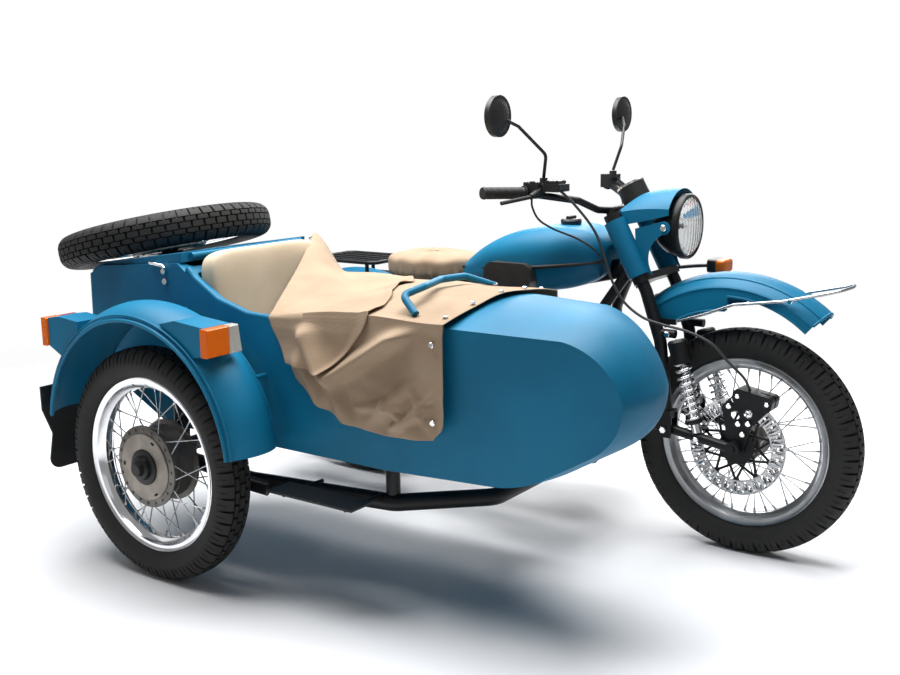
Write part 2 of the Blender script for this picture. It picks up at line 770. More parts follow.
# %% [markdown]
# Tyres
#
# Each tyre has a 4.00-19 block pattern. A turned section alone would be smooth, and a bump
# would leave its outline smooth too, so the blocks are modelled. The surface is the
# section's curve carried round the axle, with each point sunk along the section's normal
# by the depth of the groove it lies in. Each side of the middle has a narrow row of
# blocks and a wide one, half a pitch behind it, and a third row that runs on down the
# shoulder as ribs.

# %% Section of a tyre
PITCHES = 54  # blocks round the tyre
GROOVE = 8.0
SHOULDER_R = 304.0  # the grooves run out here, and reach their depth 18 mm further out
crown = np.array([0, 4, 8.6, 9.4, 11.2, 12, 18, 24.4, 25.2, 27, 27.8, 34, 41.6])
crown = np.stack([crown, TYRE_R - 2 * (crown / 24) ** 3.5], 1)
wall = np.array([
    (46.3, 323.5), (49.5, 316), (51.8, 308), (53.6, 299), (53.0, 289), (50.2, 280), (46, 271),
    (40, 263), (34, 259.5), (28.7, 258), (28.7, 250), (28.7, RIM_SEAT + 1),
])
section = np.vstack([crown, wall])
section = np.vstack([(section * (-1, 1))[:0:-1], section])
slope = unit(np.gradient(section, axis=0))
outward = np.stack([-slope[:, 1], slope[:, 0]], 1)
print("points across the tyre", len(section))

# %% Blocks and grooves
fractions = np.array([0.065, 0.095, 0.25, 0.405, 0.435, 0.565, 0.595, 0.75, 0.905, 0.935])
pitches = (np.arange(PITCHES)[:, None] + fractions).ravel()[:, None]
half_width = np.abs(section[:, 0])[None]


def in_block(phase):
    """True inside a block, False in the groove before and after it, along one pitch."""
    place = (pitches + phase) % 1
    return (place > 0.08) & (place < 0.92)


middle_row = (half_width < 9) & in_block(0.0)
wide_row = (half_width > 11.5) & (half_width < 25) & in_block(0.5)
outer_row = (half_width > 27.2) & in_block(0.0)
depth = GROOVE * np.clip((section[:, 1][None] - SHOULDER_R) / 18, 0, 1)
on_shoulder = (half_width > 44) & (section[:, 1][None] > SHOULDER_R + 1)
rib = 2.0 * (on_shoulder & in_block(0.0) & ~in_block(0.5))
sunk = np.where(middle_row | wide_row | outer_row, 0.0, depth) + rib
print("points round the tyre", len(pitches))

# %% Four tyres


def tyre_patch(centre, turn):
    """P = C + T (r cos a, y, r sin a): (y, r) is the section, sunk by the groove's depth."""
    y, r = (section[None] - sunk[..., None] * outward[None]).transpose(2, 0, 1)
    a = pitches * FULL / PITCHES
    return grid(np.stack([r * np.cos(a), y, r * np.sin(a)], -1) @ turn.T + centre, True, True)


tilt_cos, tilt_sin = np.cos(SPARE_TILT), np.sin(SPARE_TILT)
lay_flat = np.array([[tilt_cos, -tilt_sin, 0], [0, 0, -1], [tilt_sin, tilt_cos, 0]])
WHEELS = {
    "front": ("front_wheel", np.array([WHEELBASE, 0, TYRE_R]), np.eye(3)),
    "rear": ("rear_wheel", np.array([0, 0, TYRE_R]), np.eye(3)),
    "sidecar": ("sidecar_wheel", SIDE_AXLE, np.eye(3)),
    "spare": ("trunk_lid", SPARE, lay_flat),
}
for name, (body, centre, turn) in WHEELS.items():
    patch = tyre_patch(centre, turn)
    tyre = piece(f"{name}_block_tyre", [patch], tyre_rubber, body, 30)
    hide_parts(f"{name}_tyre")

# %% [markdown]
# Rims and spokes
#
# A laced wheel holds its rim by thin wires in tension: each leaves the hub's flange nearly
# along its edge, crosses its neighbours and ends in a nipple at the rim. One wire could be
# drawn and copied round by an array, but the wires come in four kinds, by side and by
# lean. A formula of the wire's number places all forty. The rim is a rolled channel with
# a bead at each edge, so its profile is carried round the axle.

# %% Rims
half_rim = np.array([
    (29.0, RIM_R - 2), (30.5, RIM_R + 1), (33.5, RIM_R + 1), (35, RIM_R - 2), (33.4, RIM_R - 5),
    (31.4, 246), (30.5, 239), (26, 236.5), (17, 232), (11, 223.5), (7, RIM_WELL),
])
channel = [(-28, 243), (-17, 238), (-8, 229), (8, 229), (17, 238), (28, 243)]
rim_profile = np.vstack([half_rim, half_rim[::-1] * (-1, 1), channel])


def at_wheel(patch, centre, turn):
    """A patch drawn round the origin, turned and moved to a wheel's place."""
    return patch[0] @ turn.T + centre, patch[1]


for name, (body, centre, turn) in WHEELS.items():
    finish = rim_grey if name == "front" else polished_rim
    rim = at_wheel(turned(rim_profile, (0, 0, 0), 128, closed=True), centre, turn)
    rim = piece(f"{name}_rim", [rim], finish, body, 30)
    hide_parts(f"{name}_wheel")

# %% Spokes
SPOKES = 40
WIRE_R = 1.9


def spokes_of(flange_r, flange_y, lean):
    """Wires from the flange to the rim, and their nipples. Spoke n meets the rim at the
    angle a = 2 pi n / 40, and the hub at a - lean or a + lean, in degrees."""
    parts = []
    for number in range(SPOKES):
        side = 1 if number % 2 == 0 else -1
        way = 1 if number % 4 < 2 else -1
        a = FULL * number / SPOKES
        b = a - way * np.radians(lean)
        hub = np.array([flange_r * np.cos(b), side * flange_y, flange_r * np.sin(b)])
        rim = np.array([(RIM_WELL + 3) * np.cos(a), side * 4, (RIM_WELL + 3) * np.sin(a)])
        run = unit(rim - hub)
        parts.append(round_bar([hub, rim], WIRE_R, 8))
        parts.append(round_bar([rim - 18 * run, rim - 17 * run, rim], [2.4, 3.4, 3.4], 8))
    return parts


DISC_LACING = (55, 47, 42)  # flange radius, flange's Y and lean in degrees
DRUM_LACING = (115, 42, 20)
for name, (body, centre, turn) in WHEELS.items():
    lacing = DISC_LACING if name == "front" else DRUM_LACING
    wires = [at_wheel(patch, centre, turn) for patch in spokes_of(*lacing)]
    piece(f"{name}_spokes", wires, zinc_steel, body)

# %% [markdown]
# Hubs
#
# The front hub is a narrow spool with two small flanges, because its brake is a disc. The
# other three are wide cast drums with a flange at each edge, and the ring of small heads
# on the flange is where the wires hook in. Cylinders could be stacked to make them, but a
# single turned profile has no hidden faces inside.

# %% Hubs
WIRE_HEADS = 20  # on each flange
drum_profile = [
    (-54, 0), (-54, 24), (-47, 30), (-46, 70), (-49, 72), (-49, 112), (-46, 120), (-39, 120),
    (-36, 106), (-12, 104), (-10, 108), (10, 108), (12, 104), (36, 106), (39, 120), (46, 120),
    (46, 32), (54, 26), (54, 0),
]
front_profile = [
    (-60, 0), (-60, 26), (-50, 27), (-50, 60), (-44, 61), (-38, 38), (-12, 33), (12, 33), (38, 38),
    (44, 61), (50, 60), (50, 27), (60, 26), (60, 0),
]
for name, (body, centre, turn) in WHEELS.items():
    profile = front_profile if name == "front" else drum_profile
    parts = [at_wheel(turned(profile, (0, 0, 0), 96), centre, turn)]
    if name != "front":
        for number in range(WIRE_HEADS):
            a = FULL * number / WIRE_HEADS
            place = np.array([109 * np.cos(a), -49, 109 * np.sin(a)])
            parts.append(at_wheel(stud(place, (0, -1, 0), 4, 3), centre, turn))
    finish = cast_aluminium if name == "front" else grey_casting
    piece(f"{name}_hub", parts, finish, body, 30)

# %% Drum cover and hub cap
SLOT_R = 86.0
cover_profile = [(-49.2, 0), (-49.2, 97), (-51, 99), (-53, 97), (-53, 0)]
cover_disc = [turned(cover_profile, SIDE_AXLE, 96)]
piece("sidecar_drum_cover", cover_disc, worn_steel, "sidecar_wheel", 30)
slots = []
for number in range(3):
    a = np.linspace(0, 0.12, 4) + FULL * number / 3 + 1.0
    arc = np.stack([SLOT_R * np.cos(a), -53 + 0 * a, SLOT_R * np.sin(a)], -1)
    slots.append(round_bar(SIDE_AXLE + arc, 3.4, 8))
piece("drum_cover_slots", slots, black_coat, "sidecar_wheel", 60)
cap_profile = [
    (-48, 0), (-48, 52), (-56, 52), (-58, 50), (-60, 36), (-70, 34), (-72, 32), (-74, 22),
    (-84, 20), (-86, 17), (-86, 0),
]
cap = [turned(cap_profile, SIDE_AXLE, 64)]
piece("sidecar_hub_cap", cap, black_coat, "sidecar_wheel", 30)

# %% [markdown]
# Front brake
#
# The disc is a flat ring, 5 mm thick, with three rings of holes that shed water and heat.
# A mask in its material could fake the holes, but light and spokes show through them and
# their edges catch the light, so they are cut for real, with one boolean. A black spider
# of crossed bars carries the disc on ten buttons.

# %% Brake disc
FRONT_AXLE = np.array([WHEELBASE, -76.0, TYRE_R])  # middle of the disc
HOLES = 24  # in each ring
HOLE_RINGS = (112, 125, 138)
ring = [(-2.5, 104), (-2.5, 147), (-1.5, 148), (1.5, 148), (2.5, 147), (2.5, 104)]
blank = [turned(ring, FRONT_AXLE, 160, closed=True)]
disc = piece("front_disc", blank, disc_steel, "front_wheel", 30)
holes = []
for number in range(HOLES):
    for row, radius in enumerate(HOLE_RINGS):
        a = FULL * (number + row / 3) / HOLES
        place = FRONT_AXLE + np.array([radius * np.cos(a), -6, radius * np.sin(a)])
        holes.append(turned([(0, 0), (0, 4), (12, 4), (12, 0)], place, 12))
cutter = piece("disc_holes", holes, disc_steel, "front_wheel")
cut = disc.modifiers.new("holes", "BOOLEAN")
cut.operation = "DIFFERENCE"
cut.solver = "EXACT"
cut.object = cutter
disc.data = evaluated_mesh(disc)
disc.modifiers.clear()
bpy.data.objects.remove(cutter)
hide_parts("brake_disc")
print("holes in the disc", len(holes))

# %% Spider and caliper bolts
BUTTONS = 10
BUTTON_R = 106.0
SPIDER_R = 54.0
spider = [turned([(-4, 26), (-4, SPIDER_R), (24, SPIDER_R), (24, 26)], FRONT_AXLE, 64, closed=True)]
buttons = []
for number in range(BUTTONS):
    a = FULL * number / BUTTONS + 0.3
    outer = FRONT_AXLE + np.array([BUTTON_R * np.cos(a), 3.5, BUTTON_R * np.sin(a)])
    for b in (a + 0.5, a - 0.5):
        foot = FRONT_AXLE + np.array([SPIDER_R * np.cos(b), 3.5, SPIDER_R * np.sin(b)])
        spider.append(round_bar([foot, outer], 4))
    buttons.append(turned([(-5, 0), (-5, 9), (8, 9), (8, 0)], outer, 24))
piece("disc_spider", spider + buttons, black_coat, "front_wheel")
bolts = []
for x, z in ((-22, 124), (-6, 146), (8, 74), (38, 78), (22, 44)):
    bolts.append(stud(FRONT_AXLE + (x, -19, z), (0, -1, 0), 8, 5, 24))
for x, z in ((8, 160), (96, 146)):
    bolts.append(stud(FRONT_AXLE + (x, -32, z), (0, -1, 0), 7, 4, 6))
piece("caliper_bolts", bolts, chrome, "fork", 30)

# %% [markdown]
# The canvas cover
#
# The cover is one cut of canvas. It is buttoned to the deck ahead of the cockpit, runs up
# to a peak on the seat's back at the inner side, and hangs down the outer side. A cloth
# simulation could drop it there, but the cover is held at many known places and a
# simulation would pull it off them. So its shape is a ruled surface: every row across the
# sidecar has a rear and a front point, and the cloth between them is straight where it is
# pulled and follows the deck where it lies. A hanging cloth has few and large folds that
# start where it is held, so the folds are a handful of ridges between those points.

# %% Places of the cover
COVER_REAR = 188.0  # its peak on the seat's back
COVER_FRONT = 1096.0
COVER_INNER = -436.0
COVER_OUTER = -990.0
DECK_Z = 826.0  # the deck's inner edge
FOLDS = (
    # from, to, width, height
    ((735, 640), (1000, 800), 20, 42), ((735, 640), (640, 770), 28, 44),
    ((735, 640), (800, 500), 26, 24), ((700, 560), (620, 690), 24, 22),
    ((860, 540), (1010, 660), 15, 15), ((930, 530), (1060, 600), 11, 12),
    ((1000, 640), (1050, 540), 10, 9), ((820, 570), (960, 590), 12, 12),
    ((900, 600), (960, 560), 9, 9), ((980, 560), (1070, 640), 9, 8),
)
print("folds on the side", len(FOLDS))

# %% Eases and folds


def ease(value, start, end):
    """Smoothstep: 0 before start, 1 after end, and 3t^2 - 2t^3 between them."""
    t = np.clip((value - start) / (end - start), 0, 1)
    return t * t * (3 - 2 * t)


def ridge(x, z, start, end, width, height):
    """A fold along the line from start to end on the sidecar's side: a bell curve across
    the line, which fades at both its ends."""
    run = np.array(end, float) - start
    t = ((x - start[0]) * run[0] + (z - start[1]) * run[1]) / (run @ run)
    off = ((x - start[0]) * run[1] - (z - start[1]) * run[0]) / np.linalg.norm(run)
    return height * np.exp(-((off / width) ** 2)) * ease(t, -0.15, 0.15) * (1 - ease(t, 0.8, 1.15))


def deck_height(y):
    """The deck's crown: an arc across it, 36 mm high, a little lower at the outer side."""
    across = (y - COVER_INNER) / (COVER_OUTER - COVER_INNER)
    return DECK_Z - 10 * across + 36 * np.sin(np.pi * np.clip(across, 0, 1)) ** 1.1


print("crown of the deck", round(float(deck_height(np.array(-713.0)))), "mm above the floor")

# %% Top and inner side of the cover


def cover_top(s, v):
    """The top: P(s, v) = R(s) + v (F(s) - R(s)) between its rear edge R and front edge F.
    s runs from the inner to the outer side. The cloth lies at the deck's height, rises to
    the rear edge in a short slope, and sags over the cockpit."""
    rear = np.array([COVER_REAR, -446, 943]) + s[..., None] * np.array([320.0, -541, -159])
    x = rear[..., 0] + v * (COVER_FRONT - rear[..., 0])
    y = rear[..., 1] + v * (COVER_INNER + (COVER_OUTER - COVER_INNER) * s - rear[..., 1])
    lie = deck_height(y)
    slope = 1 - ease(v / (0.15 + 0.3 * s), 0, 1)
    sag = 36 * np.sin(np.pi * np.clip(s, 0, 1)) * np.sin(np.pi * np.clip(v / 0.62, 0, 1)) ** 1.3
    sag = sag * (1 - 0.35 * s) - 3 * np.sin(x / 47 + y / 90) * np.sin(y / 60)
    taut = 10 * np.sin(np.pi * s) * (1 - v)
    return np.stack([x, y, lie + (rear[..., 2] - lie) * slope - sag - taut], -1)


def inner_skirt(t, v):
    """The strip that hangs at the inner side: its height goes from the hem H to the top
    edge E as H + t (E - H), and its loose hem waves by 3 mm."""
    x = COVER_REAR + v * (COVER_FRONT - COVER_REAR) + 0 * t
    hem = np.interp(
        x, (COVER_REAR, 240, 300, 412, 512, COVER_FRONT), (880, 838, 782, 752, 748, 792)
    )
    z = hem + t * (cover_top(0 * t, v)[..., 2] - hem)
    return np.stack([x, -433 - 3 * t + 3 * np.sin(x / 31) * (1 - t), z], -1)


print("peak of the cover", cover_top(np.zeros(1), np.zeros(1))[0].round(), "mm")

# %% Outer side of the cover


def cover_side(t, v):
    """The flap on the outer side: t runs down it, and P = R(t) + v (F(t) - R(t)) between
    its rear hem R and front hem F. Its folds add up and stand out from the hull."""
    knots = (0, 0.12, 0.35, 0.65, 1.0)
    rear_x = np.interp(t, knots, (508, 528, 570, 606, 690))
    rear_z = np.interp(t, knots, (784, 752, 690, 622, 556))
    front_x = COVER_FRONT - 34 * ease(t, 0.82, 1.0) ** 2
    front_z = np.interp(t, (0, 0.04, 1.0), (816, 802, 518))
    x = rear_x + v * (front_x - rear_x)
    z = rear_z + v * (front_z - rear_z) - 26 * np.sin(np.pi * v) * t
    out = sum(ridge(x, z, *fold) for fold in FOLDS)
    out = out + 3.5 * np.sin(x / 17 + z / 29) * np.sin(z / 21 - x / 60) * ease(-z, -700, -560)
    drop = ease(t, 0.0, 0.12)
    return np.stack([x, COVER_OUTER - 4 * drop - out * drop, z], -1)


print("front hem ends at", cover_side(np.ones(1), np.ones(1))[0].round(), "mm")

# %% One sheet of canvas
CANVAS_THICK = 0.0016


def cloth(name, points):
    """A sheet of canvas from a grid of points, with a thickness, declared with its real
    cut: the longest row and column, and the area as the sum of |A x B| over its tiles."""
    made = piece(name, [grid(points)], canvas, "chassis", 60)
    thick = made.modifiers.new("thickness", "SOLIDIFY")
    thick.thickness = CANVAS_THICK
    thick.offset = 0.0
    made.data = evaluated_mesh(made)
    made.modifiers.clear()
    return made


along = np.linspace(0, 1, 170)[None]
rows = [
    inner_skirt(np.linspace(0, 1, 14)[:-1, None], along),
    cover_top(np.linspace(0, 1, 90)[:, None], along),
    cover_side(np.linspace(0, 1, 81)[1:, None], along),
]
cover = cloth("canvas_cover", np.concatenate(rows))
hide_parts("tonneau_cover")

# %% [markdown]
# The edge that is turned back
#
# The rear part of the cover is folded forwards over the rest and down its side. It could
# be folded in the one sheet, but a fold of 180 degrees crowds the grid and lets the two
# layers touch. A second, smaller sheet that floats 4 mm above the first, and lifts a
# little at its free edge, looks the same and can't run into it.

# %% Turned-back edge
FLOAT = 4.0
s = np.linspace(0, 1, 90)[:, None]
t = np.linspace(0, 0.46, 45)[1:, None]
v = np.linspace(0, 1, 70)[None]
top_edge = np.interp(
    s, (0, 0.2, 0.4, 0.6, 0.73, 0.88, 1.0), (0.44, 0.5, 0.5, 0.54, 0.59, 0.62, 0.6)
)
side_edge = np.interp(t, (0, 0.1, 0.28, 0.46), (0.6, 0.56, 0.44, 0.3))
over = cover_top(s, v * top_edge)
over[..., 2] += FLOAT + 5 * ease(v, 0.9, 1.0) + 2.5 * ease(v, 0.7, 1.0) * np.sin(s * 21)
beside = cover_side(t, v * side_edge)
beside[..., 1] -= FLOAT + 12 * ease(t, 0.2, 0.46) + 5 * ease(v, 0.88, 1.0)
cloth("cover_turned_edge", np.concatenate([over, beside]))

# %% [markdown]
# Seats
#
# Both seats are foam under a tight cover. A box with rounded edges would be too hard, and
# a ball flattened by scaling too round. A superellipsoid lies between a box and a ball,
# with one exponent for how square its outline is and one for its edge.

# %% Sidecar seat
SEAT_LEAN = -0.15  # radians


def pillow(centre, half, outline, edge, lean=0.0, steps=(48, 96)):
    """x = a g(cos p, edge) g(cos q, outline), y = b g(cos p, edge) g(sin q, outline) and
    z = c g(sin p, edge), where g(w, e) = sign(w) |w|^e, leaned back about Y."""
    def g(w, e):
        return np.sign(w) * np.abs(w) ** e

    p = np.linspace(-np.pi / 2, np.pi / 2, steps[0])[:, None]
    q = np.linspace(0, FULL, steps[1], endpoint=False)[None]
    x = half[0] * g(np.cos(p), edge) * g(np.cos(q), outline)
    y = half[1] * g(np.cos(p), edge) * g(np.sin(q), outline)
    z = half[2] * g(np.sin(p), edge) + 0 * q
    c, s = np.cos(lean), np.sin(lean)
    return np.stack([x * c + z * s, y, z * c - x * s], -1) + np.array(centre, float)


CUSHIONS = (
    # name, surface, share of its box that it fills
    ("seat_back", pillow((236, -712, 762), (40, 234, 178), 0.35, 0.3, SEAT_LEAN, (64, 160)), 0.9),
    ("seat_base", pillow((450, -712, 512), (190, 232, 46), 0.3, 0.5), 0.85),
)
for name, surface_points, fill in CUSHIONS:
    patch = grid(surface_points, wrap_columns=True)
    cushion = piece(name, [patch], seat_cloth, "chassis", 80)
    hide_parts("sidecar_seat")

# %% [markdown]
# Saddle
#
# The rider's saddle wears a loose cover of the same canvas, drawn in under its rim by a
# cord. Sculpting could wrinkle it, but a few sines of the angle round the saddle give the
# gathers: they are strong below the rim and fade out above it.

# %% Saddle and its springs
SADDLE_X = 345.0
top = pillow((SADDLE_X, 0, 806), (166, 146, 45), 0.92, 0.5, 0.0, (60, 220))
a = np.arctan2(top[..., 1], top[..., 0] - SADDLE_X)
gathered = 1 - ease(top[..., 2], 770, 815)
crease = np.sin(23 * a) + 0.7 * np.sin(37 * a + 1) + 0.5 * np.sin(11 * a + 2)
shrink = 1 + 0.012 * crease * gathered - 0.05 * (1 - ease(top[..., 2], 762, 772))
top[..., 0] = SADDLE_X + (top[..., 0] - SADDLE_X) * shrink
top[..., 1] *= shrink
top[..., 2] += 2.5 * np.sin(5 * a + top[..., 0] / 30) * (1 - gathered)
saddle = piece("covered_saddle", [grid(top, wrap_columns=True)], canvas, "chassis", 80)
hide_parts("rider_saddle")
below = [coil((250, y, 746), (250, y, 772), 17, 3.2, 2.5) for y in (-62, 62)]
below.append(round_bar([(415, 0, 750), (415, 0, 772)], 20))
rail = np.array([(505, 0, 742), (470, 40, 768), (345, 95, 770), (250, 75, 770)])
below += [round_bar(curve(rail * (1, side, 1)), 6) for side in (-1, 1)]
piece("saddle_springs", below, black_coat, "chassis")

# %% [markdown]
# Sheet metal edges
#
# Fenders are pressed from thin sheet, so their edges are rolled over a wire and the crown
# has pressed lines. A bevel on the solid's edge would only round it. A thin round bar that
# follows the fender's own arc, half sunk into the sheet, stands out as a rolled edge does.

# %% Beads of the sidecar's fender


def arc_line(centre, y, radius, start, end, count=60):
    """Points on an arc in the plane of a wheel: C + r (cos a, 0, sin a) at a given y."""
    a = np.radians(np.linspace(start, end, count))
    return np.stack([
        centre[0] + radius * np.cos(a), y + 0 * a, centre[1] + radius * np.sin(a),
    ], -1)


SIDE_ARC = (172.0, 400.0)  # X and Z of its middle
beads = [round_bar(arc_line(SIDE_ARC, -1209, 374, 5, 172), 5.5, 12)]
beads.append(round_bar(arc_line(SIDE_ARC, -1203, 388, 5, 172), 3.2, 10))
beads.append(round_bar(arc_line(SIDE_ARC, -1022, 374, 5, 172), 4.5, 10))
piece("sidecar_fender_beads", beads, blue_enamel, "chassis")

# %% Beads of the front fender
FRONT_ARC = (1456.0, 433.0)
FRONT_END, REAR_END = 49, 128  # angles of the fender's two ends, in degrees
HALF_WIDTH = 80.0
beads = []
for side in (-1, 1):
    beads.append(round_bar(arc_line(FRONT_ARC, side * 79, 356, FRONT_END, 90), 4, 10))
    beads.append(round_bar(arc_line(FRONT_ARC, side * 79, 314, 91, REAR_END), 4, 10))
    beads.append(round_bar(arc_line(FRONT_ARC, side * 50, 405.6, FRONT_END, REAR_END), 3.4, 10))
    beads.append(round_bar(arc_line(FRONT_ARC, side * 79.2, 380, FRONT_END, REAR_END), 3.4, 10))
across = np.linspace(-78, 78, 24)
rise = 418 - 34 * (across / HALF_WIDTH) ** 2
for angle in (FRONT_END, REAR_END):
    a = np.radians(angle)
    lip = [FRONT_ARC[0] + rise * np.cos(a), across, FRONT_ARC[1] + rise * np.sin(a)]
    beads.append(round_bar(np.stack(lip, -1), 4, 10))
piece("front_fender_beads", beads, blue_enamel, "fork")

# %% [markdown]
# Headlight
#
# The lamp is a black bowl with a ring, a polished parabola inside and a domed glass before
# it. It could be one solid with a picture of a lamp on it, but a lamp looks right only
# when light really passes the glass and comes back from the mirror. So each is a turned
# shell of its own, and the glass is thin, as light goes in and out of it twice.

# %% Bowl and reflector of the headlight
LAMP = np.array([1282.0, 0, 978])  # middle of the bowl's mouth
FORWARDS = (1, 0, 0)
LAMP_SIDES = 96
BOWL_R = 92.0
MIRROR_R = 87.0


def parabola(radius, mouth, deep):
    """s = mouth - deep (1 - (r / R)^2), for each radius r of the mirror R."""
    return np.stack([mouth - deep * (1 - (radius / MIRROR_R) ** 2), radius], 1)


a = np.linspace(0, np.pi / 2, 16)
outside = np.stack([-BOWL_R * np.cos(a), BOWL_R * np.sin(a)], 1)
mouth = [(1, 98), (17, 98), (20, 96), (20, 90), (15, MIRROR_R)]
shell = np.vstack([outside, mouth, parabola(np.linspace(84, 0, 12), 15, 60)])
bowl = [turned(shell, LAMP, LAMP_SIDES, FORWARDS)]
bowl = piece("headlight_bowl", bowl, black_coat, "fork", 40)
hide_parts("headlight_shell")
front = parabola(np.linspace(86.5, 0, 16), 15.5, 58)
mirror = [turned(np.vstack([front, front[::-1] - (1.2, 0)]), LAMP, LAMP_SIDES, FORWARDS)]
piece("headlight_reflector", mirror, chrome, "fork", 60)

# %% Ring, glass and bulb
trim = [(14, 88), (21, 88), (23, 91), (22, 95), (17, 98.5), (10, 98.5), (10, 96)]
trim = [turned(trim, LAMP, LAMP_SIDES, FORWARDS, True)]
piece("headlight_trim", trim, black_coat, "fork", 40)
dome = np.array([(18, 88), (22, 86), (27, 74), (31, 52), (33.5, 26), (34, 0)])
inside = dome[::-1] * (1, 0.985) - (2.5, 0)
pane = [turned(np.vstack([dome, inside]), LAMP, LAMP_SIDES, FORWARDS, True)]
pane = piece("headlight_glass", pane, lamp_glass, "fork", 60)
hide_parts("headlight_lens")
bulb = pillow(LAMP - (14, 0, 0), (16, 9, 9), 1.0, 1.0, 0.0, (16, 24))
piece("headlight_bulb", [grid(bulb, wrap_columns=True)], black_plastic, "fork", 80)

# %% [markdown]
# Bolts of the fork
#
# Bright bolt heads on black parts catch the eye, so each is a real turned head. An image
# of them would go flat at the edge of the view. They come in pairs, left and right, so a
# table gives one place and both sides follow.

# %% Fork bolts
BOLTS = (
    # X, Y, Z, radius, height, sides
    (1263, 104, 980, 10, 7, 24),  # headlight
    (1643, 84, 790, 8, 6, 6),  # fender's bracket
    (1300, 88, 701, 8, 6, 6),  # fender's stay
    (1292, 126, 667, 10, 7, 6),  # shock absorber's top
    (1290, 136, 377, 11, 8, 6),  # link's pivot
    (1390, 121, 358, 9, 7, 6),  # shock absorber's foot
)
bolts = []
for x, y, z, radius, height, sides in BOLTS:
    for side in (-1, 1):
        bolts.append(stud((x, side * y, z), (0, side, 0), radius, height, sides))
piece("fork_bolts", bolts, chrome, "fork", 30)

# %% [markdown]
# Turn signals
#
# The sidecar's front lamp has two lenses side by side, amber for the signal and clear for
# the parking light, whose end is cut at a slant. Each is a moulded shell. It could be left
# to the solid, but its bevelled edges are what glints, so each lens is a bevelled block.

# %% Lenses of the sidecar
amber = [block_between((472, -1212, 704), (501, -1132, 780))]
lens = piece("sidecar_amber_lens", amber, amber_lens, "chassis", 30)
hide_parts("signal_lamps")
slanted = [(472, -1131, 704), (472, -1088, 704), (472, -1098, 780), (472, -1131, 780)]
slanted = [plate(slanted, (29, 0, 0), 3)]
piece("sidecar_clear_lens", slanted, clear_lens, "chassis", 30)
amber = [block_between((-222, -1205, 664), (-195.5, -1152, 748))]
piece("rear_amber_lens", amber, amber_lens, "chassis", 30)
red = [block_between((-214, -1150, 664), (-195.5, -1096, 748))]
red.append(block_between((-424, -44, 516), (-345, 44, 604)))
piece("red_lenses", red, red_lens, "chassis", 30)

# %% Signal on the fork
pod = [grid(pillow((1318, 168, 843), (18, 38, 22), 0.3, 0.35, 0, (24, 48)), wrap_columns=True)]
pod.append(round_bar(curve([(1196, 126, 832), (1250, 150, 838), (1303, 164, 842)]), 6))
pod = piece("fork_signal_pod", pod, black_plastic, "fork", 30)
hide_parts("turn_signals")
amber = pillow((1342, 168, 843), (20, 37, 21), 0.35, 0.4, 0, (24, 48))
amber = [grid(amber, wrap_columns=True)]
piece("fork_signal_lens", amber, amber_lens, "fork", 40)

# %% [markdown]
# Springs
#
# A shock absorber is a coil spring round a damper, between two cups. A stack of rings
# would pass for one from far off. A coil has one formula, though, so each spring is a bar
# that follows a helix between its cups and catches light along its whole slope. All
# lengths run along the shock absorber from its foot.

# %% Front shock absorbers
springs, dampers, cups = [], [], []
for side in (-1, 1):
    foot = np.array([1390.0, side * 106, 362])
    head = np.array([1310.0, side * 106, 668])
    run = unit(head - foot)
    springs.append(coil(foot + 52 * run, foot + 232 * run, 23, 4.6, 8.5))
    dampers.append(round_bar([foot + 14 * run, foot + 120 * run], 15, 24))
    dampers.append(round_bar([foot + 100 * run, foot + 290 * run], 8, 16))
    upper = [(0, 0), (0, 28), (66, 30), (72, 24), (72, 0)]
    cups.append(turned(upper, foot + 226 * run, 40, run))
    lower = [(0, 0), (0, 24), (6, 29), (12, 29), (12, 0)]
    cups.append(turned(lower, foot + 42 * run, 40, run))
front_springs = piece("front_springs", springs, chrome, "fork")
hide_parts("front_shocks")
piece("front_dampers", dampers, chrome, "fork", 30)
piece("front_spring_cups", cups, black_coat, "fork", 30)

# %% Rear shock absorbers
springs, cups = [], []
for side in (-1, 1):
    foot = np.array([45.0, side * 150, 356])
    head = np.array([20.0, side * 150, 730])
    run = unit(head - foot)
    springs.append(coil(foot + 80 * run, foot + 270 * run, 24, 4.8, 9))
    cups.append(round_bar([foot, foot + 372 * run], 12, 20))
    upper = [(0, 0), (0, 28), (90, 30), (96, 22), (96, 0)]
    cups.append(turned(upper, foot + 262 * run, 40, run))
    lower = [(0, 0), (0, 22), (8, 30), (14, 30), (14, 0)]
    cups.append(turned(lower, foot + 66 * run, 40, run))
rear_springs = piece("rear_springs", springs, chrome, "chassis")
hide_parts("rear_shocks")
piece("rear_spring_cups", cups, black_coat, "chassis", 30)

# %% [markdown]
# Controls on the bars
#
# The brake's master cylinder is a cast box with a reservoir lid, beside the switch pods.
# Sculpting such small castings would cost more than it shows. Bevelled blocks give the
# edges that glint, and the lid's screws and the round pivot tell what they are.

# %% Controls
parts = [block_between((938, -262, 1088), (1000, -196, 1112), 4)]
parts.append(block_between((946, -256, 1112), (992, -204, 1121), 3))
parts.append(block_between((886, -272, 1068), (930, -236, 1112), 4))
parts.append(block_between((886, 236, 1068), (930, 272, 1112), 4))
parts.append(stud((908, -262, 1112), (0, 0, 1), 8, 8, 20))
piece("bar_controls", parts, black_plastic, "fork", 30)
lids = [stud((x, y, 1121), (0, 0, 1), 3.5, 2.5) for x in (953, 985) for y in (-248, -212)]
piece("reservoir_screws", lids, zinc_steel, "fork", 30)

# %% [markdown]
# Grips
#
# A grip is a rubber sleeve with fine rings moulded round it, which a hand can hold. A
# bump pattern would leave its outline straight. The rings are a sine wave in the turned
# profile instead, so they also show at the grip's edge.

